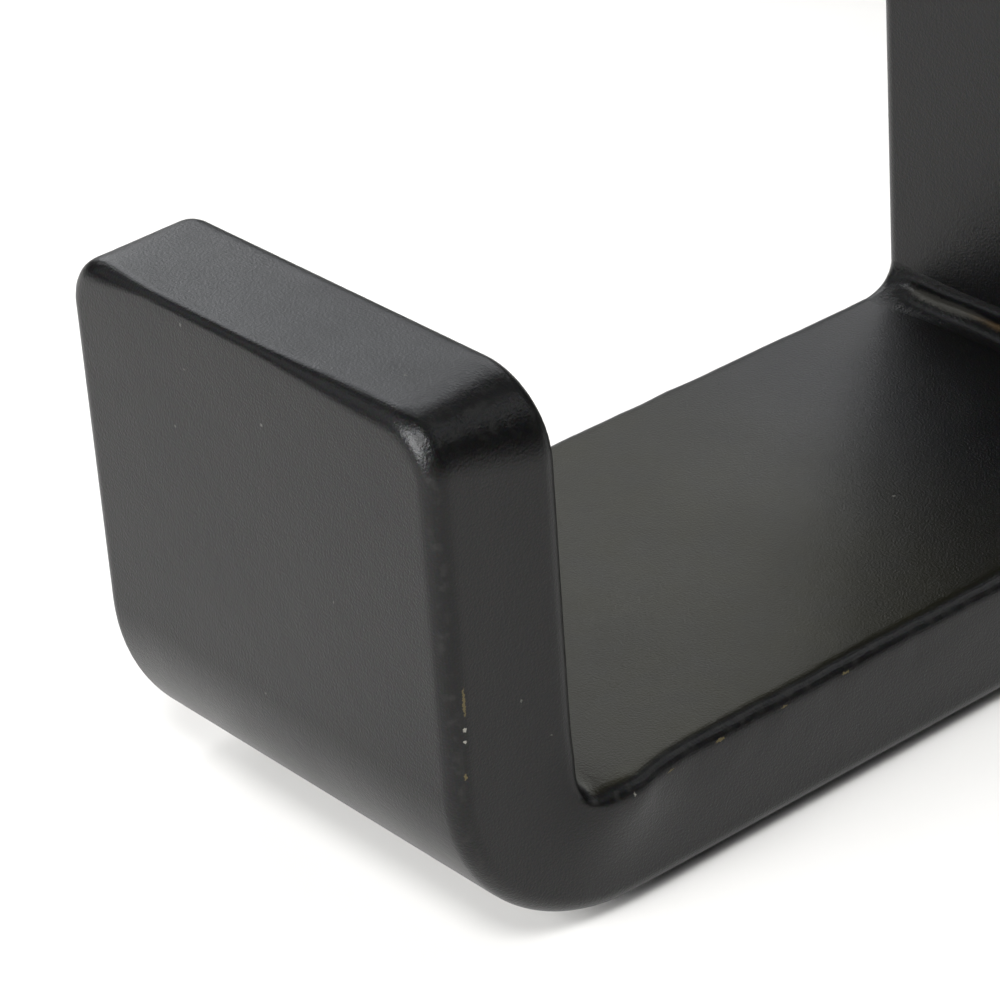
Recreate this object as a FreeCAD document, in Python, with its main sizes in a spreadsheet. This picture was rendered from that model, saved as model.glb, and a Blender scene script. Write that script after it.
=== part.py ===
"""Under-desk headphone hook: a J of flat steel bar that hangs below a mounting plate.

Frame, in millimetres: the origin is the centre of the mounting plate's top face, which lies against the
underside of a desk. +Z points up into the desk, -Y points to the lip, the side the headphones go on from,
and X runs across the bar.

The pieces are a bent hook bar (lip and saddle), a straight hanger bar, the mounting plate, the weld beads
that join them, and the four wood screws that hold the plate up.
"""

import FreeCAD
import Part
import Sketcher
import os

Vector = FreeCAD.Vector
NEAR = 1e-4  # how close two places must be to count as the same
SHARP = 0.3  # faces that turn by more than this many radians meet at a sharp edge

DIMENSIONS = [
    ("bar_width", 30.0, "width of the flat bar, along X"),
    ("bar_thick", 8.0, "thickness of the flat bar"),
    ("reach", 60.0, "from the lip's outer face to the hanger's front face"),
    ("lip_height", 32.0, "from the saddle's underside to the lip's top"),
    ("drop", 100.0, "from the plate's top face to the saddle's underside"),
    ("bend_outer", 11.0, "outside radius of the bend"),
    ("bend_inner", 1.6, "inside radius of the bend"),
    ("corner_outer", 3.0, "radius of the lip's top corners at its outer face"),
    ("corner_inner_left", 2.6, "radius of the -X top corner at the lip's inner face"),
    ("corner_inner_right", 4.8, "radius of the +X top corner at the lip's inner face, ground rounder"),
    ("edge_round", 1.2, "radius along the bar's edges"),
    ("heel_prep", 3.0, "weld chamfer under the saddle's rear end"),
    ("heel_lap", 0.8, "how far the heel bead laps onto each bar"),
    ("heel_crown", 0.6, "how far the heel bead stands below the saddle"),
    ("saddle_leg_flat", 3.0, "reach of the saddle bead along the saddle"),
    ("saddle_leg_up", 2.2, "reach of the saddle bead up the hanger"),
    ("plate_leg", 3.5, "reach of the two beads under the mounting plate"),
    ("bead_root", 1.4, "how far a bead's outline runs into the bars before they are cut from it"),
    ("bead_crown", 0.4, "how far the face of a corner bead bulges past flat"),
    ("bead_end", 0.9, "radius round the ends of a bead"),
    ("plate_width", 80.0, "mounting plate, along X"),
    ("plate_depth", 40.0, "mounting plate, along Y"),
    ("plate_thick", 5.0, "mounting plate, along Z"),
    ("plate_corner", 6.0, "radius of the plate's corners"),
    ("plate_edge", 0.8, "radius round the plate's lower edge"),
    ("holes_across", 60.0, "screw holes, centre to centre, along X"),
    ("holes_deep", 22.0, "screw holes, centre to centre, along Y"),
    ("hole_dia", 4.8, "clearance hole"),
    ("sink_dia", 8.8, "countersink, at the plate's underside"),
    ("sink_angle", 90.0, "full angle of the countersink, degrees"),
    ("head_dia", 8.0, "screw head"),
    ("head_rim", 0.3, "straight rim round the screw head"),
    ("shank_dia", 3.2, "plain shank, inside the plate"),
    ("thread_dia", 4.0, "outside of the thread, above the plate"),
    ("thread_length", 12.0, "thread above the plate"),
    ("tip_length", 3.0, "taper past the thread"),
    ("tip_dia", 0.6, "blunt end of the tip"),
    ("recess_span", 4.0, "cross recess, end to end"),
    ("recess_slot", 1.1, "width of its slots"),
    ("recess_depth", 1.5, "depth of the recess"),
    ("recess_taper", 10.0, "slope of its walls, degrees"),
]
HOLE_SIDES = [(-1, -1), (1, -1), (1, 1), (-1, 1)]  # the side of the centre each screw is on, in X and Y


def make_sheet(doc):
    """The driving dimensions, each in a named cell."""
    sheet = doc.addObject("Spreadsheet::Sheet", "dims")
    for row, (alias, value, note) in enumerate(DIMENSIONS, start=1):
        sheet.set(f"A{row}", alias)
        sheet.set(f"B{row}", str(value))
        sheet.set(f"C{row}", note)
        sheet.setAlias(f"B{row}", alias)
    doc.recompute()
    return sheet


def sketch_on(body, name, role, lift=None):
    """A sketch on one of the body's own planes, or lifted off it by an expression."""
    plane = next(f for f in body.Origin.OriginFeatures if f.Role == role)
    sketch = body.newObject("Sketcher::SketchObject", name)
    sketch.AttachmentSupport = [(plane, "")]
    sketch.MapMode = "FlatFace"
    if lift:
        sketch.setExpression("AttachmentOffset.Base.z", lift)
    return sketch


def place_of(sketch, corner):
    """The point that a pair of expressions stands for."""
    across, up = (float(sketch.evalExpression(expression)) for expression in corner)
    return Vector(across, up, 0)


def hold(sketch, kind, *geometry, size):
    """A dimension that follows an expression on the sheet."""
    value = float(sketch.evalExpression(size))
    index = sketch.addConstraint(Sketcher.Constraint(kind, *geometry, value))
    sketch.setExpression(f"Constraints[{index}]", size)


def outline(sketch, corners, crown=None):
    """Closed outline through corners given as pairs of expressions, each corner held in its place.

    With a crown, the side from the last corner back to the first is an arc that stands out that far.
    """
    places = [place_of(sketch, corner) for corner in corners]
    area = sum(p.x * q.y - q.x * p.y for p, q in zip(places, places[1:] + places[:1]))
    if area < 0:
        corners, places = corners[::-1], places[::-1]
    last = len(places) - 1
    for i, start in enumerate(places):
        end = places[(i + 1) % len(places)]
        if crown and i == last:
            chord = end - start
            outward = Vector(chord.y, -chord.x, 0).normalize()
            top = (start + end) / 2 + outward * float(sketch.evalExpression(crown))
            sketch.addGeometry(Part.Arc(start, top, end), False)
        else:
            sketch.addGeometry(Part.LineSegment(start, end), False)
    for i in range(len(places)):
        sketch.addConstraint(Sketcher.Constraint("Coincident", i, 2, (i + 1) % len(places), 1))
    for i, (across, up) in enumerate(corners):
        hold(sketch, "DistanceX", -1, 1, i, 1, size=across)
        hold(sketch, "DistanceY", -1, 1, i, 1, size=up)
    if crown:
        (x0, y0), (x1, y1) = corners[last], corners[0]
        half_squared = f"((({x1}) - ({x0})) ^ 2 + (({y1}) - ({y0})) ^ 2) / 4"
        hold(sketch, "Radius", last, size=f"({half_squared} + {crown} ^ 2) / (2 * {crown})")


def rectangle(width, depth):
    """Corners of a rectangle round the origin."""
    x, y = f"{width} / 2", f"{depth} / 2"
    return [(x, y), (f"-{x}", y), (f"-{x}", f"-{y}"), (x, f"-{y}")]


def pad(body, sketch, length, both_ways=False, reverse=False):
    """A pad along the sketch's normal, against it, or half to each side."""
    feature = body.newObject("PartDesign::Pad", f"{sketch.Name}_pad")
    feature.Profile = sketch
    feature.Midplane = both_ways
    feature.Reversed = reverse
    feature.setExpression("Length", length)
    body.Document.recompute()
    return feature


def sharp_edges(shape, wanted):
    """Numbers of the edges where two faces meet sharply, kept if the edge's middle and ends pass a test."""
    numbers = []
    for number, edge in enumerate(shape.Edges, start=1):
        middle = edge.valueAt((edge.FirstParameter + edge.LastParameter) / 2)
        ends = [vertex.Point for vertex in edge.Vertexes]
        faces = shape.ancestorsOfType(edge, Part.Face)
        normals = [face.normalAt(*face.Surface.parameter(middle)) for face in faces]
        sharp = len(normals) == 2 and normals[0].getAngle(normals[1]) > SHARP
        if sharp and wanted(middle, ends):
            numbers.append(number)
    return numbers


def dress(body, kind, base, size, wanted):
    """A PartDesign fillet or chamfer on the sharp edges that pass a test."""
    feature = body.newObject(f"PartDesign::{kind}", f"{base.Name}_{kind.lower()}")
    feature.Base = (base, [f"Edge{number}" for number in sharp_edges(base.Shape, wanted)])
    feature.setExpression("Radius" if kind == "Fillet" else "Size", size)
    body.Tip = feature
    body.Document.recompute()
    return feature


def must_remove(before, after, volume):
    """Stops the build if a cut took less than it had to, in cubic millimetres."""
    if before.Shape.Volume - after.Shape.Volume < volume:
        raise RuntimeError(f"{after.Name} did not cut into {before.Name}")


def part_fillet(doc, name, base, edges):
    """A fillet whose radius may change along an edge: edges holds (number, first radius, last radius)."""
    feature = doc.addObject("Part::Fillet", name)
    feature.Base = base
    feature.Edges = edges
    doc.recompute()
    return feature


def make_hook_bar(doc, sheet):
    """The lip and the saddle: one flat bar, bent up at the front, its rear end against the hanger."""
    rear = -sheet.bar_thick / 2
    front = rear - sheet.reach
    foot = -sheet.drop
    top = foot + sheet.lip_height

    body = doc.addObject("PartDesign::Body", "hook_bar_body")
    profile = sketch_on(body, "hook_bar_profile", "YZ_Plane")
    heel_y, foot_z = "-dims.bar_thick / 2", "-dims.drop"
    front_y, back_y = f"{heel_y} - dims.reach", f"{heel_y} - dims.reach + dims.bar_thick"
    top_z, floor_z = f"{foot_z} + dims.lip_height", f"{foot_z} + dims.bar_thick"
    outline(profile, [(heel_y, foot_z), (front_y, foot_z), (front_y, top_z), (back_y, top_z),
                      (back_y, floor_z), (heel_y, floor_z)])
    blank = pad(body, profile, "dims.bar_width", both_ways=True)

    def along_x(y, z):
        return lambda middle, ends: all(abs(p.y - y) < NEAR and abs(p.z - z) < NEAR for p in ends)

    outer = dress(body, "Fillet", blank, "dims.bend_outer", along_x(front, foot))
    throat = along_x(front + sheet.bar_thick, foot + sheet.bar_thick)
    inner = dress(body, "Fillet", outer, "dims.bend_inner", throat)
    dress(body, "Chamfer", inner, "dims.heel_prep", along_x(rear, foot))

    corners = []
    for number, edge in enumerate(body.Shape.Edges, start=1):
        start, end = (edge.valueAt(t) for t in (edge.FirstParameter, edge.LastParameter))
        if min(start.z, end.z) > top - NEAR and abs(start.x - end.x) < NEAR:
            inner_radius = sheet.corner_inner_right if start.x > 0 else sheet.corner_inner_left
            radii = (sheet.corner_outer, inner_radius)
            corners.append((number, *(radii if start.y < end.y else radii[::-1])))
    cornered = part_fillet(doc, "hook_bar_corners", body, corners)

    def clear_of_joint(middle, ends):
        return middle.y < rear - sheet.heel_prep - NEAR

    round_all = (sheet.edge_round, sheet.edge_round)
    rim = [(number, *round_all) for number in sharp_edges(cornered.Shape, clear_of_joint)]
    bar = part_fillet(doc, "hook_bar_rounded", cornered, rim)
    bar.Label = "hook_bar"
    return bar


def make_hanger_bar(doc, sheet):
    """The upright flat bar between the mounting plate and the saddle's rear end."""
    body = doc.addObject("PartDesign::Body", "hanger_bar_body")
    section = sketch_on(body, "hanger_bar_section", "XY_Plane", lift="-dims.plate_thick")
    outline(section, rectangle("dims.bar_width", "dims.bar_thick"))
    bar = pad(body, section, "dims.drop - dims.plate_thick", reverse=True)

    def loose(middle, ends):
        """The long edges and the lower end's edges, but not the welded ones."""
        at_top = middle.z > -sheet.plate_thick - NEAR
        at_heel = all(p.z < -sheet.drop + NEAR and p.y < 0 for p in ends)
        return not at_top and not at_heel

    dress(body, "Fillet", bar, "dims.edge_round", loose)
    body.Label = "hanger_bar"
    return body


def make_mounting_plate(doc, sheet):
    """The plate under the desk, with four holes countersunk from below."""
    body = doc.addObject("PartDesign::Body", "mounting_plate_body")
    section = sketch_on(body, "mounting_plate_outline", "XY_Plane")
    outline(section, rectangle("dims.plate_width", "dims.plate_depth"))
    blank = pad(body, section, "dims.plate_thick", reverse=True)

    def upright(middle, ends):
        return abs(ends[0].z - ends[1].z) > NEAR

    def at_underside(middle, ends):
        return middle.z < -sheet.plate_thick + NEAR

    cornered = dress(body, "Fillet", blank, "dims.plate_corner", upright)
    rounded = dress(body, "Fillet", cornered, "dims.plate_edge", at_underside)

    centres = sketch_on(body, "mounting_plate_holes", "XY_Plane", lift="-dims.plate_thick")
    for number, (side_x, side_y) in enumerate(HOLE_SIDES):
        place = (f"{side_x} * dims.holes_across / 2", f"{side_y} * dims.holes_deep / 2")
        circle = Part.Circle(place_of(centres, place), Vector(0, 0, 1), sheet.hole_dia / 2)
        centres.addGeometry(circle, False)
        hold(centres, "DistanceX", -1, 1, number, 3, size=place[0])
        hold(centres, "DistanceY", -1, 1, number, 3, size=place[1])
        hold(centres, "Radius", number, size="dims.hole_dia / 2")
    doc.recompute()
    holes = body.newObject("PartDesign::Hole", "mounting_plate_drilled")
    holes.Profile = centres
    holes.DepthType = "ThroughAll"
    holes.Reversed = True
    holes.HoleCutType = "Countersink"
    holes.setExpression("Diameter", "dims.hole_dia")
    holes.setExpression("HoleCutDiameter", "dims.sink_dia")
    holes.setExpression("HoleCutCountersinkAngle", "dims.sink_angle")
    body.Tip = holes
    doc.recompute()
    must_remove(rounded, holes, len(HOLE_SIDES) * sheet.plate_thick * sheet.hole_dia ** 2 * 0.78)
    body.Label = "mounting_plate"
    return body


def make_bead(doc, name, corners, crown, bars):
    """A weld bead: an outline run across the bar, rounded at its ends, with the bars cut from it.

    The corners start and end at the bead's two toes, and its crown bulges between those.
    """
    body = doc.addObject("PartDesign::Body", f"{name}_body")
    section = sketch_on(body, f"{name}_section", "YZ_Plane")
    outline(section, corners, crown)
    run = pad(body, section, "dims.bar_width", both_ways=True)
    doc.recompute()
    toes = [place_of(section, corner) for corner in (corners[0], corners[-1])]

    def on_crown_end(middle, ends):
        across = abs(ends[0].x - ends[1].x) < NEAR
        at_toes = all(any(abs(p.y - t.x) < NEAR and abs(p.z - t.y) < NEAR for t in toes) for p in ends)
        return across and at_toes

    dress(body, "Fillet", run, "dims.bead_end", on_crown_end)
    bead = doc.addObject("Part::Cut", name)
    bead.Base = body
    bead.Tool = bars
    doc.recompute()
    bead.Label = name
    return bead


def corner_bead(doc, name, at, fills, legs, bars):
    """A bead in an inner corner at a (y, z) place, with the side that it fills and its reach along each."""
    near_y, near_z = at
    toe_y = f"{near_y} + {fills[0]} * {legs[0]}"
    toe_z = f"{near_z} + {fills[1]} * {legs[1]}"
    root_y = f"{near_y} - {fills[0]} * dims.bead_root"
    root_z = f"{near_z} - {fills[1]} * dims.bead_root"
    corners = [(toe_y, near_z), (toe_y, root_z), (root_y, root_z), (root_y, toe_z), (near_y, toe_z)]
    return make_bead(doc, name, corners, "dims.bead_crown", bars)


def heel_bead(doc, bars):
    """The bead that fills the weld chamfer under the saddle's rear end."""
    foot_z, root_z = "-dims.drop", "-dims.drop + dims.heel_prep"
    toe_y = "-dims.bar_thick / 2 - dims.heel_prep - dims.heel_lap"
    hanger_toe_y = "-dims.bar_thick / 2 + dims.heel_lap"
    corners = [(toe_y, foot_z), (toe_y, root_z), (hanger_toe_y, root_z), (hanger_toe_y, foot_z)]
    return make_bead(doc, "heel_weld", corners, "dims.heel_crown", bars)


def make_screw(doc, sheet, name, sides):
    """A countersunk wood screw that stands in its hole, head down, seated on the countersink."""
    body = doc.addObject("PartDesign::Body", name)
    half = sketch_on(body, f"{name}_half", "XZ_Plane")
    head_r, shank_r, thread_r = "dims.head_dia / 2", "dims.shank_dia / 2", "dims.thread_dia / 2"
    seat_z = "-dims.plate_thick + (dims.sink_dia - dims.head_dia) / 2"
    head_z = f"{seat_z} - dims.head_rim"
    neck_z = f"{seat_z} + (dims.head_dia - dims.shank_dia) / 2"
    outline(half, [("0", head_z), (head_r, head_z), (head_r, seat_z), (shank_r, neck_z), (shank_r, "0"),
                   (thread_r, "0"), (thread_r, "dims.thread_length"),
                   ("dims.tip_dia / 2", "dims.thread_length + dims.tip_length"),
                   ("0", "dims.thread_length + dims.tip_length")])
    turned = body.newObject("PartDesign::Revolution", f"{name}_turned")
    turned.Profile = half
    turned.ReferenceAxis = (half, ["V_Axis"])
    turned.Angle = 360
    doc.recompute()

    cross = sketch_on(body, f"{name}_cross", "XY_Plane", lift=head_z)
    near, far = "dims.recess_slot / 2", "dims.recess_span / 2"
    quarter = [(near, far), (near, near), (far, near)]
    upper = quarter + [(x, f"-{y}") for x, y in quarter[::-1]]
    outline(cross, upper + [(f"-{x}", y) for x, y in upper[::-1]])
    recess = body.newObject("PartDesign::Pocket", f"{name}_recess")
    recess.Profile = cross
    recess.Reversed = True
    recess.setExpression("Length", "dims.recess_depth")
    recess.setExpression("TaperAngle", "-dims.recess_taper")
    body.Tip = recess
    doc.recompute()
    must_remove(turned, recess, sheet.recess_span * sheet.recess_slot * sheet.recess_depth)
    body.setExpression("Placement.Base.x", f"{sides[0]} * dims.holes_across / 2")
    body.setExpression("Placement.Base.y", f"{sides[1]} * dims.holes_deep / 2")
    body.Label = name
    return body


def check(doc, pieces):
    """Stops the build if anything in the document failed, or a piece is not one sound solid."""
    for item in doc.Objects:
        if "Invalid" in item.State or "Error" in item.State:
            raise RuntimeError(f"{item.Name} failed: {item.State}")
    for piece in pieces:
        if piece.Shape.isNull() or not piece.Shape.isValid() or len(piece.Shape.Solids) != 1:
            raise RuntimeError(f"{piece.Label} is not one sound solid")


def main():
    doc = FreeCAD.newDocument("headphone_hook")
    sheet = make_sheet(doc)
    hook_bar = make_hook_bar(doc, sheet)
    hanger_bar = make_hanger_bar(doc, sheet)
    mounting_plate = make_mounting_plate(doc, sheet)

    bars = doc.addObject("Part::MultiFuse", "all_bars")
    bars.Shapes = [hook_bar, hanger_bar, mounting_plate]
    doc.recompute()
    front_y, rear_y = "-dims.bar_thick / 2", "dims.bar_thick / 2"
    floor_z, plate_z = "-dims.drop + dims.bar_thick", "-dims.plate_thick"
    saddle_legs = ("dims.saddle_leg_flat", "dims.saddle_leg_up")
    plate_legs = ("dims.plate_leg", "dims.plate_leg")
    beads = [
        corner_bead(doc, "saddle_weld", (front_y, floor_z), (-1, 1), saddle_legs, bars),
        heel_bead(doc, bars),
        corner_bead(doc, "plate_weld_front", (front_y, plate_z), (-1, -1), plate_legs, bars),
        corner_bead(doc, "plate_weld_rear", (rear_y, plate_z), (1, -1), plate_legs, bars),
    ]
    screws = []
    for number, sides in enumerate(HOLE_SIDES, start=1):
        screws.append(make_screw(doc, sheet, f"mounting_screw_{number}", sides))
    doc.recompute()

    pieces = [hook_bar, hanger_bar, mounting_plate, *beads, *screws]
    check(doc, pieces)
    os.makedirs("parts", exist_ok=True)
    for piece in pieces:
        piece.Shape.exportStep(f"parts/{piece.Label}.step")


main()
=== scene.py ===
"""The looks of a welded flat-bar headphone hook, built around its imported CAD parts."""

import math

import bmesh
import bpy
from mathutils import Matrix, Vector, noise


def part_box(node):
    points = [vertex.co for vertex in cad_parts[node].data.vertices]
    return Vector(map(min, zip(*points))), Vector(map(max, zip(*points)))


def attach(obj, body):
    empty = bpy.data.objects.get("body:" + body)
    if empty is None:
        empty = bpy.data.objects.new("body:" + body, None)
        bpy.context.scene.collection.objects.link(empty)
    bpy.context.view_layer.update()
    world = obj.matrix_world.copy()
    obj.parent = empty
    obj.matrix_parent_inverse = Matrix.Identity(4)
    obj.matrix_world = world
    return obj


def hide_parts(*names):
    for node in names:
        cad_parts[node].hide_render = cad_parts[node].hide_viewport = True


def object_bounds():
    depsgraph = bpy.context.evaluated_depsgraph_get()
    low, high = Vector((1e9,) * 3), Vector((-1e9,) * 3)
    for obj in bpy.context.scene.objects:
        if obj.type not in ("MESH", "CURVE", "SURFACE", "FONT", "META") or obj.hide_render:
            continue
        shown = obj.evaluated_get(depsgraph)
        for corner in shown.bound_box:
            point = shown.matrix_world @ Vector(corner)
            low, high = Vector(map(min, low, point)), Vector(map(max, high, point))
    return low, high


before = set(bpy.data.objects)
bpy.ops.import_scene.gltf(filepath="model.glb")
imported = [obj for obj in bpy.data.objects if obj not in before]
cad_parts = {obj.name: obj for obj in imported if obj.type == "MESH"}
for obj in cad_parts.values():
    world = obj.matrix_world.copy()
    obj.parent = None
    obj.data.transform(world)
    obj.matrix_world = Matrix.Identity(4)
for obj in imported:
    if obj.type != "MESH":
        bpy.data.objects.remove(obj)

CAD_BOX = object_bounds()
MM = 0.001
HOOK_LOW, HOOK_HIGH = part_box("hook_bar")
HANGER_LOW, HANGER_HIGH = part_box("hanger_bar")
PLATE_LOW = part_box("mounting_plate")[0]
BAR_THICK = HANGER_HIGH.y - HANGER_LOW.y
HALF_WIDTH = HOOK_HIGH.x
SADDLE_TOP = HOOK_LOW.z + BAR_THICK
SCREWS = [f"mounting_screw_{number}" for number in (1, 2, 3, 4)]


# ---------------------------------------------------------------- camera, light and floor

CAMERA_AT = (0.154864, -0.171386, 0.025933)
CAMERA_RIGHT = Vector((0.649329, 0.757840, -0.063644))
CAMERA_BACK = Vector((0.683824, -0.545187, 0.484929))
LENS = 151.92
SENSOR = 36.0


def make_camera():
    """The camera, looking down at the lip from its right."""
    back = CAMERA_BACK.normalized()
    right = (CAMERA_RIGHT - back * CAMERA_RIGHT.dot(back)).normalized()
    turn = Matrix((right, back.cross(right), back)).transposed()
    data = bpy.data.cameras.new("camera")
    data.lens = LENS
    data.sensor_width = SENSOR
    data.clip_start = 0.01
    data.clip_end = 20.0
    camera = bpy.data.objects.new("camera", data)
    bpy.context.collection.objects.link(camera)
    camera.matrix_world = Matrix.Translation(CAMERA_AT) @ turn.to_4x4()
    bpy.context.scene.camera = camera


LIGHT_TARGET = Vector((0, -0.035, -0.09))
LIGHT_AWAY = 1.2
LIGHT_GAIN = 1.12
LIGHT_COLOUR = (0.982, 0.995, 1.012)
AMBIENT = 0.012
FLOOR_GAP = 0.0001
FLOOR_SIZE = 6
FLOOR_CLEAR_AT, FLOOR_SOLID_AT = 0.40, 0.17
# name: azimuth, elevation and half width in degrees as seen from the hook, then radiance
LIGHTS = {
    "key": (42, 55, 8, 25.9),
    "front": (5, 25, 18, 15.0),
    "front_left": (308, 33, 15, 0.9),
    "back_low": (212, 33, 9, 5.1),
    "back_high": (212, 50, 9, 6.2),
    "back_left_low": (230, 30, 9, 1.3),
    "back_left": (250, 25, 12, 3.6),
    "back_top": (180, 58, 9, 0.7),
    "back_right": (150, 45, 13, 2.3),
}


def studio_light(name, azimuth, elevation, spread, radiance):
    """A round softbox aimed at the hook, unseen by the camera."""
    az, el = math.radians(azimuth), math.radians(elevation)
    level = math.cos(el)
    towards = Vector((math.sin(az) * level, -math.cos(az) * level, math.sin(el)))
    radius = LIGHT_AWAY * math.tan(math.radians(spread))
    data = bpy.data.lights.new(name, "AREA")
    data.shape = "DISK"
    data.size = 2 * radius
    data.color = LIGHT_COLOUR
    data.energy = LIGHT_GAIN * radiance * (math.pi * radius) ** 2
    light = bpy.data.objects.new(name, data)
    bpy.context.collection.objects.link(light)
    light.location = LIGHT_TARGET + towards * LIGHT_AWAY
    light.rotation_mode = "QUATERNION"
    light.rotation_quaternion = (-towards).to_track_quat("-Z", "Y")
    light.visible_camera = False


def make_world():
    """White behind everything, and a little light from all round."""
    world = bpy.data.worlds.new("studio")
    bpy.context.scene.world = world
    world.use_nodes = True
    tree = world.node_tree
    back = tree.nodes["Background"]
    path = tree.nodes.new("ShaderNodeLightPath")
    strength = tree.nodes.new("ShaderNodeMapRange")
    strength.inputs["To Min"].default_value = AMBIENT
    strength.inputs["To Max"].default_value = 1.0
    tree.links.new(path.outputs["Is Camera Ray"], strength.inputs["Value"])
    tree.links.new(strength.outputs["Result"], back.inputs["Strength"])
    back.inputs["Color"].default_value = (1, 1, 1, 1)


def make_floor():
    """Pale paper that fades into the white around it, and is clear from below."""
    low = CAD_BOX[0].z - FLOOR_GAP
    bpy.ops.mesh.primitive_plane_add(size=FLOOR_SIZE, location=(0, 0, low))
    floor = bpy.context.object
    floor.name = "floor"
    paper = Surface("floor_paper")
    flat = paper.vector("MULTIPLY", paper.at, (1, 1, 0))
    away = paper.vector("LENGTH", flat, output="Value")
    near = paper.remap(away, FLOOR_CLEAR_AT, FLOOR_SOLID_AT)
    above = paper.math("SUBTRACT", 1.0, paper.add("NewGeometry", {}, "Backfacing"))
    paper.put(paper.shader.inputs["Alpha"], paper.math("MULTIPLY", near, above))
    paper.shader.inputs["Base Color"].default_value = (0.826, 0.809, 0.781, 1)
    paper.shader.inputs["Roughness"].default_value = 0.9
    paper.shader.inputs["Specular IOR Level"].default_value = 0.1
    floor.data.materials.append(paper.material)


# ---------------------------------------------------------------- meshes

def smooth_step(low, high, x):
    """0 below low, 1 above high, and smooth between them."""
    t = min(1.0, max(0.0, (x - low) / (high - low)))
    return t * t * (3 - 2 * t)


def wander(x, seed, size):
    """Smooth noise from -1 to 1 along a line, with features of that size."""
    return noise.noise(Vector((x / size, seed * 17.3, seed * 5.1)))


def loft(name, loops, material):
    """A closed piece through a row of closed loops, with its two ends capped."""
    mesh = bmesh.new()
    rows = [[mesh.verts.new(p) for p in loop] for loop in loops]
    for row, after in zip(rows, rows[1:]):
        for k in range(len(row)):
            n = (k + 1) % len(row)
            mesh.faces.new((row[k], row[n], after[n], after[k]))
    for row in (rows[0], rows[-1]):
        middle = mesh.verts.new(sum((v.co for v in row), Vector()) / len(row))
        for k in range(len(row)):
            mesh.faces.new((row[k], row[(k + 1) % len(row)], middle))
    bmesh.ops.recalc_face_normals(mesh, faces=mesh.faces)
    for face in mesh.faces:
        face.smooth = True
    data = bpy.data.meshes.new(name)
    mesh.to_mesh(data)
    mesh.free()
    data.materials.append(material)
    piece = bpy.data.objects.new(name, data)
    bpy.context.collection.objects.link(piece)
    return piece


def edge_drop(x, radius):
    """How far a bar's face falls away at x, where its long edge is rounded."""
    over = abs(x) - (HALF_WIDTH - radius)
    return radius - math.sqrt(radius * radius - over * over) if over > 0 else 0.0


def bend_point(start, pull, end, t):
    """A point on the parabola from start to end that is drawn towards pull."""
    return start * (1 - t) ** 2 + pull * 2 * t * (1 - t) + end * t * t


def bump_at(t, middle, width):
    return math.exp(-((t - middle) / width) ** 2)


STEPS_ALONG = 260
STEPS_ACROSS = 44
EDGE_RADIUS = 1.2  # of the bars' long edges, in millimetres
BAR_EDGE = EDGE_RADIUS * MM
SUNK = 0.03 * MM  # how deep a bead's face is set into the bars, so that no gap shows
BEAD_INSET = 0.05 * MM  # how far a bead ends inside the bars' sides, so that no faces coincide
BEAD_ROOT = 0.5 * MM  # how deep a corner bead goes into the bars
NUDGE = 0.001


def bead_stations():
    """The places along X where a bead's section is drawn, closer together near its ends."""
    half = HALF_WIDTH - BEAD_INSET
    return [-half * math.cos(math.pi * k / STEPS_ALONG) for k in range(STEPS_ALONG + 1)]


def ripples(x, t, seed):
    """The crescent-shaped waves that the moving weld pool leaves, from about -1 to 1."""
    spacing = (0.95 + 0.2 * wander(x, seed, 5 * MM)) * MM
    lag = 2.4 * (2 * t - 1) ** 2
    return math.cos(2 * math.pi * x / spacing + lag + 2.0 * wander(x, seed + 3, 2.5 * MM))


def saddle_profile(x):
    """The saddle bead: a hollow fillet that runs into both bars, with a narrow crest."""
    body = smooth_step(-14.1, -10.2, x / MM) * smooth_step(15.0, 12.0, x / MM)
    reach = 3.0 - 0.55 * body + 0.14 * wander(x, 1, 4 * MM)
    rise = 2.1 - 0.25 * body + 0.10 * wander(x, 2, 4 * MM)
    crest = 0.50 + 0.05 * wander(x, 4, 3 * MM)
    width = 0.19 + 0.02 * wander(x, 7, 2 * MM)

    def height(t):
        rope = (0.66 + 0.08 * wander(x, 5, 2 * MM)) * bump_at(t, crest, width)
        wave = 0.012 * ripples(x, t, 6) * bump_at(t, crest, 0.3)
        return body * (rope + wave) * MM

    return reach * MM, rise * MM, 0.04 + 0.03 * body, height


def plate_profile(seed):
    """A plate bead: an even convex bead that tapers off at both ends."""
    def profile(x):
        over = max(0.0, abs(x) / MM - 13.4) / 1.6
        size = math.sqrt(max(0.0, 1 - over * over)) * 0.97 + 0.03
        reach = (3.35 + 0.15 * wander(x, seed, 5 * MM)) * size
        rise = (3.35 + 0.15 * wander(x, seed + 1, 5 * MM)) * size

        def height(t):
            wave = 0.09 * ripples(x, t, seed + 2) + 0.10 * wander(x, seed + 4, 1.6 * MM)
            return wave * math.sin(math.pi * t) * size * MM

        return reach * MM, rise * MM, 0.66, height

    return profile


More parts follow.
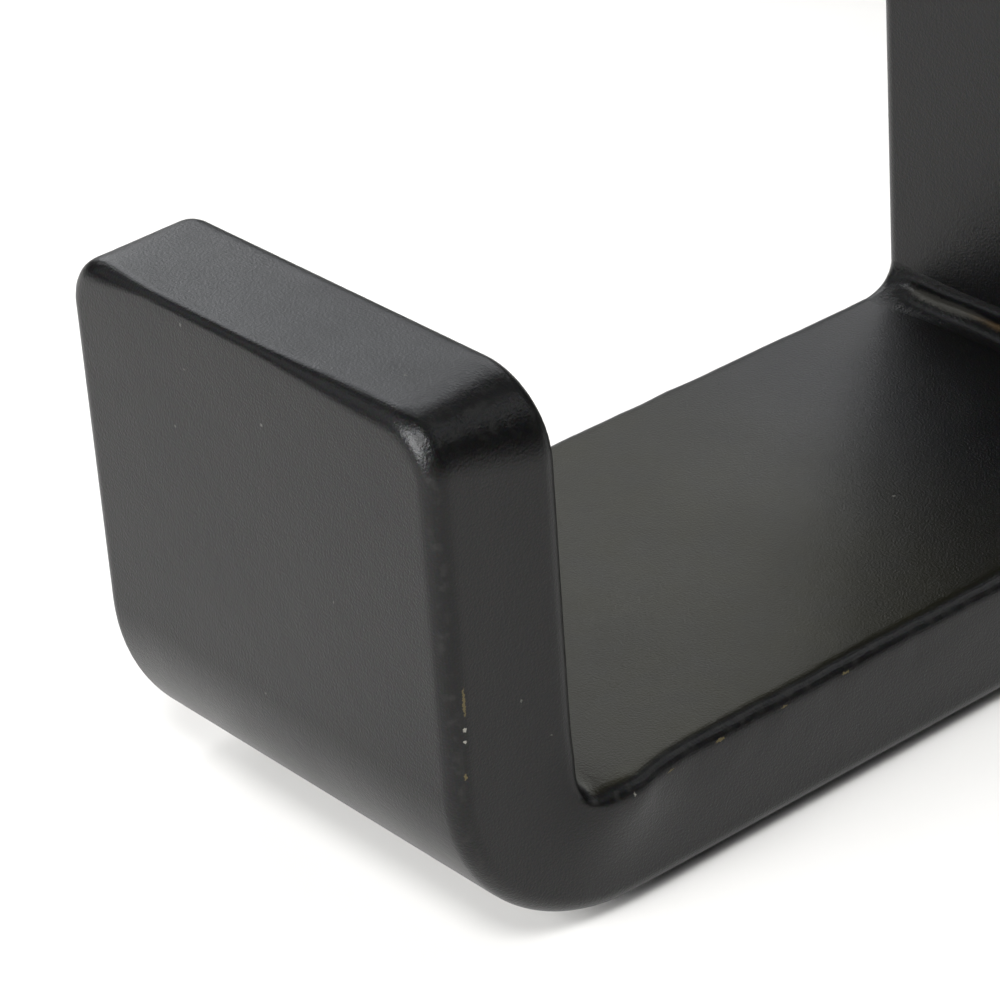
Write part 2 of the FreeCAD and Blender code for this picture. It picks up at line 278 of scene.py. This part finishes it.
def corner_bead(name, corner, fills, profile, material, flat_is_bar):
    """A bead in the corner between the hanger and a flat face."""
    corner_y, corner_z = corner
    loops = []
    for x in bead_stations():
        reach, rise, fullness, height = profile(x)
        drop = edge_drop(x, BAR_EDGE)
        shift = Vector((drop + SUNK, drop + SUNK if flat_is_bar else SUNK))
        start, end = Vector((0, rise)), Vector((reach, 0))
        pull = Vector((reach, rise)) * fullness
        outline = []
        for k in range(STEPS_ACROSS + 1):
            t = k / STEPS_ACROSS
            here = bend_point(start, pull, end, t)
            after = bend_point(start, pull, end, t + NUDGE)
            ahead = after - bend_point(start, pull, end, t - NUDGE)
            out = Vector((-ahead.y, ahead.x)).normalized()
            outline.append(here + out * height(t))
        for buried in ((reach, -BEAD_ROOT), (-BEAD_ROOT, -BEAD_ROOT), (-BEAD_ROOT, rise)):
            outline.append(Vector(buried))
        outline = [p - shift for p in outline]
        loops.append([(x, corner_y + fills[0] * p.x, corner_z + fills[1] * p.y) for p in outline])
    return loft(name, loops, material)


def heel_bead(name, node, material):
    """The bead across the underside that fills the weld chamfer at the heel."""
    low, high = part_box(node)
    crown = (HANGER_LOW.z - low.z) - 0.06 * MM
    loops = []
    for x in bead_stations():
        over = max(0.0, abs(x) / MM - 13.6) / 1.4
        size = math.sqrt(max(0.0, 1 - over * over))
        drop = edge_drop(x, BAR_EDGE)
        first = low.y + (0.15 + 0.12 * wander(x, 21, 4 * MM)) * MM
        last = high.y - (0.15 + 0.12 * wander(x, 22, 4 * MM)) * MM
        outline = []
        for k in range(STEPS_ACROSS + 1):
            t = k / STEPS_ACROSS
            wave = 0.09 * ripples(x, t, 23) + 0.08 * wander(x, 24, 1.6 * MM)
            fall = crown * (0.84 * (1 - (2 * t - 1) ** 2)) * size
            fall += wave * math.sin(math.pi * t) * size * MM
            outline.append((x, first + (last - first) * t, HANGER_LOW.z + drop + SUNK - fall))
        top = high.z - 0.05 * MM
        outline.append((x, last, top - 1.5 * MM))
        for y in (HANGER_LOW.y + 0.1 * MM, HANGER_LOW.y - 0.1 * MM):
            outline.append((x, y, top))
        loops.append(outline)
    return loft(name, loops, material)


# ---------------------------------------------------------------- the bent bar

# From here to make_hook all lengths are millimetres, and pairs are Y and Z.
LONGEST_EDGE = 1.1
REFINEMENTS = 9
SIDE_X = 14.9  # past this a point is on the bar's +X side
FLAT_X = 13.8  # the bar's faces are flat up to here, and then round off
SADDLE_ROUND_Z = -93.2  # where the saddle's upper edges start to round off
LIP_ROUND_Y, LIP_ROUND_Z = -62.8, -69.2  # where the lip's front upper edge starts to round off
SIDE_CROWN = 0.72  # how much wider the saddle's +X side is at its top
SIDE_FOOT = 0.25  # and at its foot
NEAR_ROUND = -0.2  # what the radius of the saddle's +X upper edge gains
CRISP_EDGE = 0.65  # what the radius of the lip's front upper edge loses
BEND_CENTRE = Vector((-53.0, -89.0))
BEND_OUTER = 11.0
BEND_SKIN = 1.3  # how deep below the outer bend a point still counts as on it
BEND_MIDDLE = Vector((-53.8, -92.4))
BEND_SWELL = 0.85  # how far both sides stand out there
BEND_ROOT = Vector((-55.5, -91.5))
POCKET = Vector((-0.30, -0.42))  # how the ends of the bend's root are drawn in


def near_edge(p):
    """How a point moves when the saddle's +X upper edge gets its own radius."""
    turned = math.atan2(max(0.0, p.x - FLAT_X), max(1e-9, p.z - SADDLE_ROUND_Z))
    along = smooth_step(-56.4, -53.4, p.y) * smooth_step(-6, -14, p.y)
    if p.z < SADDLE_ROUND_Z:
        upwards = -NEAR_ROUND * smooth_step(-98.4, SADDLE_ROUND_Z, p.z) * (p.x > SIDE_X)
        return Vector((0, 0, upwards)) * along
    if p.z > -91.9:
        return Vector((0, 0, 0))
    inwards = NEAR_ROUND * (math.sin(turned) - 1) * smooth_step(7, FLAT_X, p.x)
    return Vector((inwards, 0, NEAR_ROUND * (math.cos(turned) - 1))) * along


def lip_edge(p):
    """How a point moves when the lip's front upper edge is made less round."""
    turned = math.atan2(max(0.0, LIP_ROUND_Y - p.y), max(1e-9, p.z - LIP_ROUND_Z))
    gain = CRISP_EDGE * smooth_step(-13.2, -7, p.x) * smooth_step(12, 0, p.x)
    if p.y > -57 or p.z < -76:
        return Vector((0, 0, 0))
    on_top, on_front = p.z > -68.1, p.y < -63.9
    forwards = smooth_step(-58, LIP_ROUND_Y, p.y) if on_top else float(p.y < -62.7)
    upwards = smooth_step(-75, LIP_ROUND_Z, p.z) if on_front else float(p.z > -69.3)
    forwards *= -gain * (1 - math.sin(turned))
    upwards *= gain * (1 - math.cos(turned))
    return Vector((0, forwards, upwards))


def on_bend(p):
    """A point of the meshed outer bend put back on the true rounded surface."""
    across = Vector((p.y, p.z)) - BEND_CENTRE
    depth = BEND_OUTER - across.length
    if across.x > 0 or across.y > 0 or depth > BEND_SKIN:
        return p
    over = max(0.0, abs(p.x) - FLAT_X)
    scale = EDGE_RADIUS / max(0.3, math.hypot(EDGE_RADIUS - depth, over))
    out = across.normalized() * (BEND_OUTER - EDGE_RADIUS + (EDGE_RADIUS - depth) * scale)
    x = math.copysign(FLAT_X + over * scale, p.x) if over else p.x
    return Vector((x, *(BEND_CENTRE + out)))


def pressed(p):
    """Where a point of the bar ends up: bending squeezed the inside of the bend out sideways."""
    section = Vector((p.y, p.z))
    side = math.copysign(smooth_step(9, 15, abs(p.x)), p.x)
    away = section - BEND_MIDDLE
    height = 2.7 if away.y > 0 else 3.4
    squeezed = BEND_SWELL * math.exp(-(away.x / 2.7) ** 2 - (away.y / height) ** 2)
    rough = 0.10 * noise.noise(Vector((p.y / 1.7, p.z / 3.0, 5.3)))
    on_saddle = smooth_step(-57, -54, p.y) * smooth_step(-95.5, -93.5, p.z)
    lean = SIDE_FOOT + (SIDE_CROWN - SIDE_FOOT) * smooth_step(-100, -93, p.z)
    crown = lean * smooth_step(-61, -50, p.y) * smooth_step(-5, -20, p.y) if p.x > 0 else 0.0
    moved = Vector((side * (squeezed + crown + rough * on_saddle), 0, 0))
    near_root = math.exp(-(((section - BEND_ROOT).length / 0.95) ** 2))
    moved.yz += POCKET * (near_root * smooth_step(10.5, 14.5, abs(p.x)))
    return p + moved + lip_edge(p) + (near_edge(p) if p.x > 0 else Vector())


def make_hook(node, material):
    """The hook bar as it left the press, with its sides swollen and its edges uneven."""
    mesh = bmesh.new()
    mesh.from_mesh(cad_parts[node].data)
    bmesh.ops.remove_doubles(mesh, verts=mesh.verts, dist=0.0005 * MM)
    for _ in range(REFINEMENTS):
        long_edges = [e for e in mesh.edges if e.calc_length() > LONGEST_EDGE * MM]
        bmesh.ops.subdivide_edges(mesh, edges=long_edges, cuts=1)
        bmesh.ops.triangulate(mesh, faces=mesh.faces)
    for vertex in mesh.verts:
        vertex.co = pressed(on_bend(vertex.co / MM)) * MM
    for face in mesh.faces:
        face.smooth = True
    data = bpy.data.meshes.new("hook_bar_formed")
    mesh.to_mesh(data)
    mesh.free()
    data.materials.append(material)
    piece = bpy.data.objects.new("hook_bar_formed", data)
    bpy.context.collection.objects.link(piece)
    weighted = piece.modifiers.new("normals", "WEIGHTED_NORMAL")
    weighted.mode = "FACE_AREA"
    return piece


# ---------------------------------------------------------------- screws

SCREW_SIDES = 40
THREAD_STEPS = 160
THREAD_RADIUS = 2.0 * MM
THREAD_PITCH = 1.8 * MM
THREAD_CORE = 1.35 * MM
POINT_LENGTH = 3.0 * MM
SHANK_RADIUS = 1.6 * MM
HEAD_RIM = 0.3 * MM
RECESS_SPAN, RECESS_SLOT, RECESS_DEPTH = 4.0 * MM, 1.1 * MM, 1.5 * MM
RECESS_CLOSING = math.tan(math.radians(10))


def ring(z, radius):
    """A closed loop around the Z axis. The radius is a number, or a function of the angle."""
    turns = [2 * math.pi * k / SCREW_SIDES for k in range(SCREW_SIDES)]
    reach = [radius(a) if callable(radius) else radius for a in turns]
    return [(r * math.cos(a), r * math.sin(a), z) for r, a in zip(reach, turns)]


def thread_radius(z, tip_z, turn):
    """The radius of the threaded shank at a height and an angle."""
    left = min(1.0, max(0.0, (tip_z - z) / POINT_LENGTH))
    tooth = max(0.0, 1 - abs((z / THREAD_PITCH - turn / (2 * math.pi)) % 1.0 - 0.5) / 0.26)
    ridge = (THREAD_RADIUS - THREAD_CORE) * (0.2 + 0.8 * left) * smooth_step(0, THREAD_PITCH, z)
    return THREAD_CORE * (0.2 + 0.8 * left) + ridge * tooth ** 1.3


def cross(z, closing):
    """The outline of the recess at a height, drawn in on every side by that much."""
    near, far = RECESS_SLOT / 2 - closing, RECESS_SPAN / 2 - closing
    quarter = [(near, far), (near, near), (far, near)]
    upper = quarter + [(x, -y) for x, y in quarter[::-1]]
    return [(x, y, z) for x, y in upper + [(-x, y) for x, y in upper[::-1]]]


def make_screw(node, turn, material):
    """A countersunk wood screw in place of a CAD one, turned by an angle, with a cross recess."""
    low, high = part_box(node)
    head_radius = (high.x - low.x) / 2
    seat_z = low.z + HEAD_RIM
    neck_z = seat_z + head_radius - SHANK_RADIUS
    soft = 0.1 * MM
    turned = [
        (low.z, head_radius - 2 * soft), (low.z + soft / 2, head_radius - soft / 2),
        (low.z + soft, head_radius), (seat_z, head_radius),
        (neck_z - soft, SHANK_RADIUS + soft), (neck_z + soft, SHANK_RADIUS),
        (-soft, SHANK_RADIUS),
    ]
    loops = [ring(z, radius) for z, radius in turned]
    for k in range(THREAD_STEPS + 1):
        z = high.z * k / THREAD_STEPS
        loops.append(ring(z, lambda a, z=z: thread_radius(z, high.z, a)))
    screw = loft(f"{node}_threaded", loops, material)
    mouth = cross(low.z - 0.2 * MM, 0)
    end = cross(low.z + RECESS_DEPTH, RECESS_DEPTH * RECESS_CLOSING)
    cutter = loft("recess_cutter", [mouth, end], material)
    cut = screw.modifiers.new("recess", "BOOLEAN")
    cut.object = cutter
    cut.solver = "EXACT"
    done = screw.evaluated_get(bpy.context.evaluated_depsgraph_get())
    shaped = bpy.data.meshes.new_from_object(done)
    screw.modifiers.clear()
    screw.data = shaped
    bpy.data.objects.remove(cutter)
    shaped.set_sharp_from_angle(angle=math.radians(38))
    middle = (low + high) / 2
    place = Matrix.Translation((middle.x, middle.y, 0))
    screw.matrix_world = place @ Matrix.Rotation(turn, 4, "Z")
    return screw


# ---------------------------------------------------------------- materials

class Surface:
    """A Principled material whose inputs are built from nodes."""

    def __init__(self, name):
        self.material = bpy.data.materials.new(name)
        self.material.use_nodes = True
        self.tree = self.material.node_tree
        self.shader = self.tree.nodes["Principled BSDF"]
        self.at = self.add("TexCoord", {}, "Object")

    def put(self, socket, value):
        if isinstance(value, bpy.types.NodeSocket):
            self.tree.links.new(value, socket)
        else:
            socket.default_value = value

    def add(self, kind, inputs, output=0, **settings):
        node = self.tree.nodes.new(f"ShaderNode{kind}")
        for key, value in settings.items():
            setattr(node, key, value)
        for key, value in inputs.items():
            self.put(node.inputs[key], value)
        return node.outputs[output]

    def math(self, operation, *values):
        return self.add("Math", dict(enumerate(values)), operation=operation)

    def vector(self, operation, *values, output="Vector"):
        return self.add("VectorMath", dict(enumerate(values)), output, operation=operation)

    def noise(self, size, detail=2.0, output="Fac"):
        """Smooth noise of about 0 to 1, with features of that size in metres."""
        inputs = {"Vector": self.at, "Scale": 1 / size, "Detail": detail}
        return self.add("TexNoise", inputs, output)

    def remap(self, value, low, high, to_low=0.0, to_high=1.0):
        """A smooth step between low and high."""
        inputs = {"Value": value, "From Min": low, "From Max": high}
        inputs |= {"To Min": to_low, "To Max": to_high}
        return self.add("MapRange", inputs, "Result", interpolation_type="SMOOTHSTEP")

    def mix(self, share, one, other):
        """Between two colours."""
        node = self.tree.nodes.new("ShaderNodeMix")
        node.data_type = "RGBA"
        for k, value in ((0, share), (6, one), (7, other)):
            self.put(node.inputs[k], value)
        return node.outputs[2]

    def bump(self, height, distance, strength=1.0, normal=None):
        inputs = {"Height": height, "Distance": distance, "Strength": strength}
        if normal is not None:
            inputs["Normal"] = normal
        return self.add("Bump", inputs, "Normal")

    def part_of(self, vector, axis):
        return self.add("SeparateXYZ", {"Vector": vector}, axis)

    def spots(self, spots, ragged_by=0.22):
        """1 inside any of the spots, each a middle and half sizes in millimetres."""
        ragged = self.noise(0.11 * MM, 1.0, "Color")
        back = self.vector("SUBTRACT", self.at, (ragged_by * MM / 2,) * 3)
        at = self.vector("MULTIPLY_ADD", ragged, (ragged_by * MM,) * 3, back)
        nearest = None
        for middle, half in spots:
            scale = [1 / (h * MM) for h in half]
            offset = [-m * MM * k for m, k in zip(middle, scale)]
            scaled = self.vector("MULTIPLY_ADD", at, scale, offset)
            away = self.vector("LENGTH", scaled, output="Value")
            nearest = away if nearest is None else self.math("MINIMUM", nearest, away)
        return self.remap(nearest, 1.2, 0.8)


WHITE_CHIPS = [
    ((15.0, -63.1, -85.0), (0.2, 0.10, 0.13)), ((15.0, -63.15, -85.65), (0.2, 0.09, 0.09)),
    ((14.9, -64.0, -86.3), (0.08, 0.08, 0.08)), ((15.1, -64.0, -87.0), (0.08, 0.08, 0.08)),
    ((15.9, -53.5, -92.7), (0.5, 0.08, 0.16)),
]
YELLOW_CHIPS = [
    ((15.0, -63.05, -83.4), (0.2, 0.07, 0.8)), ((15.0, -63.26, -87.7), (0.2, 0.07, 0.2)),
    ((15.6, -46.9, -92.7), (0.5, 0.3, 0.09)), ((15.6, -50.6, -92.8), (0.5, 0.35, 0.05)),
    ((15.6, -42.3, -92.7), (0.5, 0.2, 0.05)), ((15.6, -37.7, -92.7), (0.5, 0.25, 0.06)),
]
DUST_SPECKS = [
    ((-4.7, -64, -68.9), (0.08, 0.3, 0.08)), ((-4.8, -64, -71.5), (0.09, 0.3, 0.07)),
    ((1.5, -64, -72.4), (0.07, 0.3, 0.07)), ((-6.2, -64, -75.3), (0.06, 0.3, 0.08)),
    ((9.5, -60.8, -68), (0.09, 0.07, 0.3)), ((15, -59.5, -84.9), (0.3, 0.07, 0.08)),
    ((15, -57.8, -87.6), (0.3, 0.06, 0.06)), ((-0.6, -64, -89.1), (0.07, 0.3, 0.07)),
    ((6.2, -64, -80.8), (0.06, 0.3, 0.06)), ((4.8, -23.1, -92), (0.1, 0.1, 0.3)),
]
# painted highlight: a pale patch on the saddle bead's crest
PAINTED_CREST_HIGHLIGHT = [((-8.7, -5.1, -90.8), (4.0, 0.6, 0.55))]
BURNT_CREST = [((4.8, -5.15, -90.95), (10.6, 0.55, 0.5))]
MARKS = (
    (WHITE_CHIPS, (0.24, 0.23, 0.20, 1)),
    (YELLOW_CHIPS, (0.085, 0.068, 0.03, 1)),
    (DUST_SPECKS, (0.10, 0.10, 0.09, 1)),
)
# the crest's painted highlight, then its burnt patch
PAINTED_HIGHLIGHT_AND_BURNT_CREST = (
    (PAINTED_CREST_HIGHLIGHT, (0.026, 0.025, 0.021, 1)),
    (BURNT_CREST, (0.030, 0.019, 0.009, 1)),
)

WHITE = (1, 1, 1, 1)
COAT_DARK = (0.0010, 0.0010, 0.0011, 1)
COAT_LIGHT = (0.0022, 0.0022, 0.0023, 1)
COAT_LEAST = (0.0006,) * 3
COAT_SPECKLE = (0.012,) * 3
COAT_IOR = 1.375
RUBBED = (0.009, 0.0088, 0.008, 1)
SADDLE_DUST = (0.0050, 0.0044, 0.0008, 1)
SADDLE_SHEEN = (1.0, 0.98, 0.76, 1)
# painted light: the pale colour given to the lip's top
LIP_TOP_PAINTED_LIGHT = (0.026, 0.0265, 0.028, 1)
BURNT_SHEEN = (1.0, 0.80, 0.55, 1)
ZINC_DARK = (0.5, 0.5, 0.48, 1)
ZINC_LIGHT = (0.68, 0.67, 0.64, 1)


def powder_coat(name, marked=False, painted_highlight_and_burn=False):
    """Satin black powder coat: grain, orange peel, settled dust (left off near the hanger as
    painted shade), painted light on the lip's top, rubbed edges, chips, and on the weld crest a
    painted highlight and burn.
    """
    s = Surface(name)
    cloud = s.noise(9 * MM, 3.0)
    normal = s.add("TexCoord", {}, "Normal")
    sideways = s.part_of(s.vector("ABSOLUTE", normal), "X")
    edge = s.math("MULTIPLY", s.remap(sideways, 0.30, 0.62), s.remap(sideways, 0.97, 0.80))
    rubbed = s.math("MULTIPLY", edge, s.remap(s.noise(0.7 * MM, 3.0), 0.50, 0.68))

    # dust lies on faces that look up on the saddle, but is left off close to the hanger as
    # painted shade; the lip's upward faces get painted light
    patchy = s.remap(s.noise(2.2 * MM, 3.0), 0.1, 0.8, 0.6, 1.0)
    dust_and_painted_light = s.math("MULTIPLY", s.remap(s.part_of(normal, "Z"), 0.90, 0.99), patchy)
    height = s.part_of(s.at, "Z")
    low = s.remap(height, -69 * MM, -74 * MM)
    below_plate = s.remap(height, -40 * MM, -60 * MM)
    lip_top = s.math("MULTIPLY", s.math("SUBTRACT", 1.0, low), below_plate)
    # painted shade: the saddle's dust stops short of the hanger, so the saddle stays dark near it
    away = s.remap(s.part_of(s.at, "Y"), -14 * MM, -34 * MM)
    on_saddle = s.math("MULTIPLY", s.math("MULTIPLY", dust_and_painted_light, away), low)
    # painted light: the lip's upward faces are made lighter than the coat
    on_top = s.math("MULTIPLY", dust_and_painted_light, lip_top)

    speckle = s.vector("SUBTRACT", s.noise(0.13 * MM, 1.0, "Color"), (0.5, 0.5, 0.5))
    colour = s.mix(s.remap(cloud, 0.35, 0.7), COAT_DARK, COAT_LIGHT)
    colour = s.vector("MULTIPLY_ADD", speckle, COAT_SPECKLE, colour)
    colour = s.vector("MAXIMUM", colour, COAT_LEAST)
    # dust on the saddle, left off near the hanger as painted shade
    colour = s.mix(on_saddle, colour, SADDLE_DUST)
    # painted light on the lip's top
    colour = s.mix(on_top, colour, LIP_TOP_PAINTED_LIGHT)
    colour = s.mix(rubbed, colour, RUBBED)
    rough = s.remap(cloud, 0.3, 0.7, 0.34, 0.39)
    rough = s.math("MULTIPLY_ADD", rubbed, 0.08, rough)
    tint = s.mix(on_saddle, WHITE, SADDLE_SHEEN)
    if marked:
        for spots, paint in MARKS:
            here = s.spots(spots)
            colour = s.mix(here, colour, paint)
            rough = s.math("MAXIMUM", rough, s.math("MULTIPLY", here, 0.7))
    # painted highlight on the saddle bead's crest, and its burn colour
    if painted_highlight_and_burn:
        for spots, paint in PAINTED_HIGHLIGHT_AND_BURNT_CREST:
            here = s.spots(spots, 0.5)
            colour = s.mix(here, colour, paint)
            rough = s.math("MULTIPLY_ADD", here, 0.12, rough)
        tint = s.mix(here, tint, BURNT_SHEEN)
    peel = s.bump(s.noise(1.5 * MM, 2.0), 0.03 * MM, 0.5)
    grain = s.bump(s.noise(0.14 * MM, 3.0), 0.026 * MM, 1.0, peel)
    s.put(s.shader.inputs["Base Color"], colour)
    s.put(s.shader.inputs["Roughness"], rough)
    s.put(s.shader.inputs["Specular Tint"], tint)
    s.put(s.shader.inputs["Normal"], grain)
    s.shader.inputs["IOR"].default_value = COAT_IOR
    return s.material


def screw_steel():
    """Bright zinc plate with slight clouds."""
    s = Surface("zinc_screw")
    s.shader.inputs["Metallic"].default_value = 1.0
    s.put(s.shader.inputs["Base Color"], s.mix(s.noise(0.8 * MM), ZINC_DARK, ZINC_LIGHT))
    s.put(s.shader.inputs["Roughness"], s.remap(s.noise(0.5 * MM), 0.3, 0.7, 0.24, 0.40))
    s.put(s.shader.inputs["Normal"], s.bump(s.noise(0.12 * MM), 0.004 * MM))
    return s.material


# ---------------------------------------------------------------- the scene

make_camera()
make_world()
make_floor()
for name, settings in LIGHTS.items():
    studio_light(name, *settings)
bpy.context.scene.view_settings.view_transform = "Standard"

coat = powder_coat("powder_coat", marked=True)
hook = make_hook("hook_bar", coat)
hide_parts("hook_bar")
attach(hook, "root")
for name in ("hanger_bar", "mounting_plate"):
    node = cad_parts[name]
    node.data.materials.clear()
    node.data.materials.append(coat)

# the beads' coat, with a painted highlight on the saddle bead's crest
weld_coat = powder_coat("weld_coat", painted_highlight_and_burn=True)
beads = {
    "saddle_weld": corner_bead(
        "saddle_weld_bead", (HANGER_LOW.y, SADDLE_TOP), (-1, 1),
        saddle_profile, weld_coat, True),
    "heel_weld": heel_bead("heel_weld_bead", "heel_weld", weld_coat),
    "plate_weld_front": corner_bead(
        "plate_weld_front_bead", (HANGER_LOW.y, PLATE_LOW.z), (-1, -1),
        plate_profile(31), weld_coat, False),
    "plate_weld_rear": corner_bead(
        "plate_weld_rear_bead", (HANGER_HIGH.y, PLATE_LOW.z), (1, -1),
        plate_profile(41), weld_coat, False),
}
for node, bead in beads.items():
    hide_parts(node)
    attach(bead, "root")

zinc = screw_steel()
for node, turn in zip(SCREWS, (0.35, 1.2, 0.8, 0.1)):
    screw = make_screw(node, turn, zinc)
    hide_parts(node)
    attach(screw, "root")
